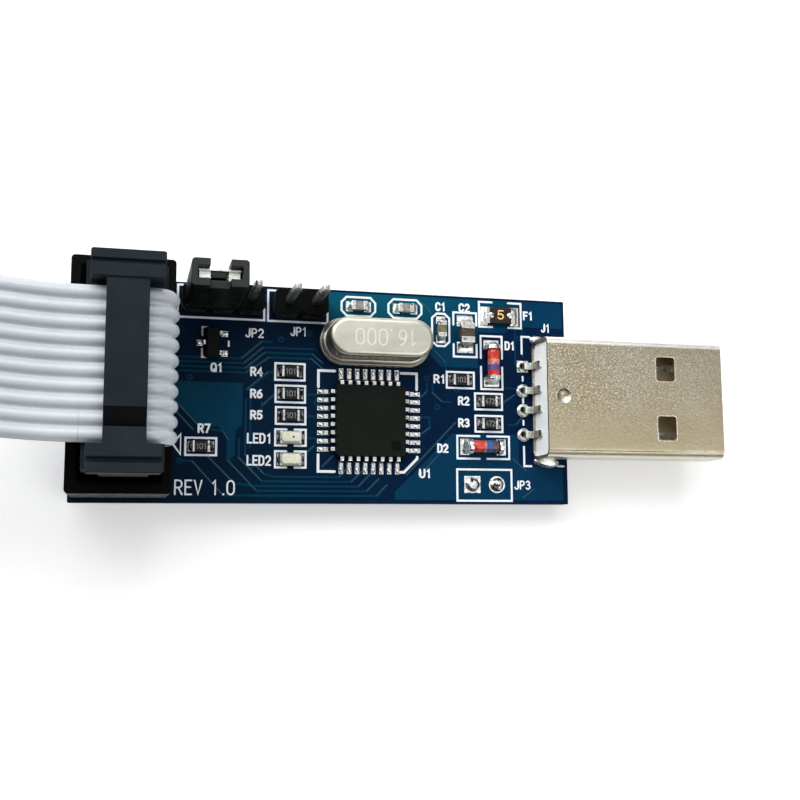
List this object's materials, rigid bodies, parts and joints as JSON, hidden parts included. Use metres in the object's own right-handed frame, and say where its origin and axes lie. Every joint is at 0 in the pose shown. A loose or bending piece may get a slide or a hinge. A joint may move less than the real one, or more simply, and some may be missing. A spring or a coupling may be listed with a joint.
{
  "type": "usb microcontroller programmer",
  "caption": "Small circuit board with a USB plug on one end and a box header on the other, with a ribbon cable plugged into it that carries a second socket, and a jumper shunt.",
  "frame": {"origin": "on the table under the middle of the board and plug together, measured without the free ribbon cable; z = 0 is the surface that the pin tips and solder joints stand on", "axes": "+X points out of the USB plug, +Z out of the component side of the board, +Y across the board towards the jumper headers"},
  "size_m": [0.1535, 0.0731, 0.0192],
  "materials": {
    "circuit_board": "blue solder mask over copper on glass-epoxy",
    "solder": "bright solder",
    "chip_moulding": "fine matte epoxy moulding",
    "tinned_leads": "bright tin plating",
    "nickel_can": "satin nickel-plated steel",
    "seal_glass": "fused glass bead",
    "quartz": "clear quartz",
    "nickel_shell": "warm nickel plating with a fine speckle",
    "pale_plastic": "white glass-filled moulding",
    "contact_metal": "plated copper alloy",
    "black_plastic": "black glass-filled moulding",
    "socket_plastic": "dark blue-grey glass-filled moulding",
    "resistor_coat": "black overcoat",
    "ceramic": "fired tan ceramic",
    "diode_glass": "red glass with a blue band",
    "fuse_body": "dark brown laminate",
    "led_base": "white laminate",
    "led_lens": "clear yellowish epoxy",
    "ribbon": "pale grey soft PVC insulation",
    "tie": "black nylon"
  },
  "bodies": {
    "root": {"cable_tie": "tie", "capacitor_c1": "ceramic", "capacitor_c2": "ceramic", "capacitor_c3": "ceramic", "capacitor_c4": "ceramic", "capacitor_ends": "tinned_leads", "circuit_board": "circuit_board", "crystal_base": "nickel_can", "crystal_can": "nickel_can", "crystal_glass_seals": "seal_glass", "crystal_leads": "tinned_leads", "diode_ends": "tinned_leads", "diode_glass": "diode_glass", "far_socket_body": "socket_plastic", "far_socket_contacts": "contact_metal", "far_socket_cover": "socket_plastic", "far_socket_ribbon_fold": "ribbon", "far_socket_strain_relief": "socket_plastic", "fuse_ends": "tinned_leads", "fuse_f1": "fuse_body", "header_housing": "black_plastic", "header_pins": "contact_metal", "jumper_base_jp1": "black_plastic", "jumper_base_jp2": "black_plastic", "jumper_pins": "contact_metal", "led1_base": "led_base", "led1_lens": "led_lens", "led2_base": "led_base", "led2_lens": "led_lens", "led_ends": "tinned_leads", "mcu_body": "chip_moulding", "mcu_leads": "tinned_leads", "quartz_blank": "quartz", "resistor_ends": "tinned_leads", "resistor_r1": "resistor_coat", "resistor_r2": "resistor_coat", "resistor_r3": "resistor_coat", "resistor_r4": "resistor_coat", "resistor_r5": "resistor_coat", "resistor_r6": "resistor_coat", "resistor_r7": "resistor_coat", "ribbon_coil": "ribbon", "ribbon_lead": "ribbon", "ribbon_tail": "ribbon", "solder_joints": "solder", "transistor_body": "chip_moulding", "transistor_leads": "tinned_leads", "usb_contact_1": "contact_metal", "usb_contact_2": "contact_metal", "usb_contact_3": "contact_metal", "usb_contact_4": "contact_metal", "usb_insulator": "pale_plastic", "usb_shell": "nickel_shell"},
    "shunt": {"shunt_housing": "black_plastic", "shunt_clip": "contact_metal"},
    "socket": {"socket_body": "socket_plastic", "socket_contacts": "contact_metal", "socket_cover": "socket_plastic", "socket_ribbon_fold": "ribbon", "socket_strain_relief": "socket_plastic"}
  },
  "joints": [
    {"name": "shunt_pull", "type": "slide", "parent": "root", "child": "shunt", "axis": [0, 0, 1], "range_m": [0, 0.0065]},
    {"name": "socket_pull", "type": "slide", "parent": "root", "child": "socket", "axis": [0, 0, 1], "range_m": [0, 0.008], "deforming": ["ribbon_lead"]}
  ]
}
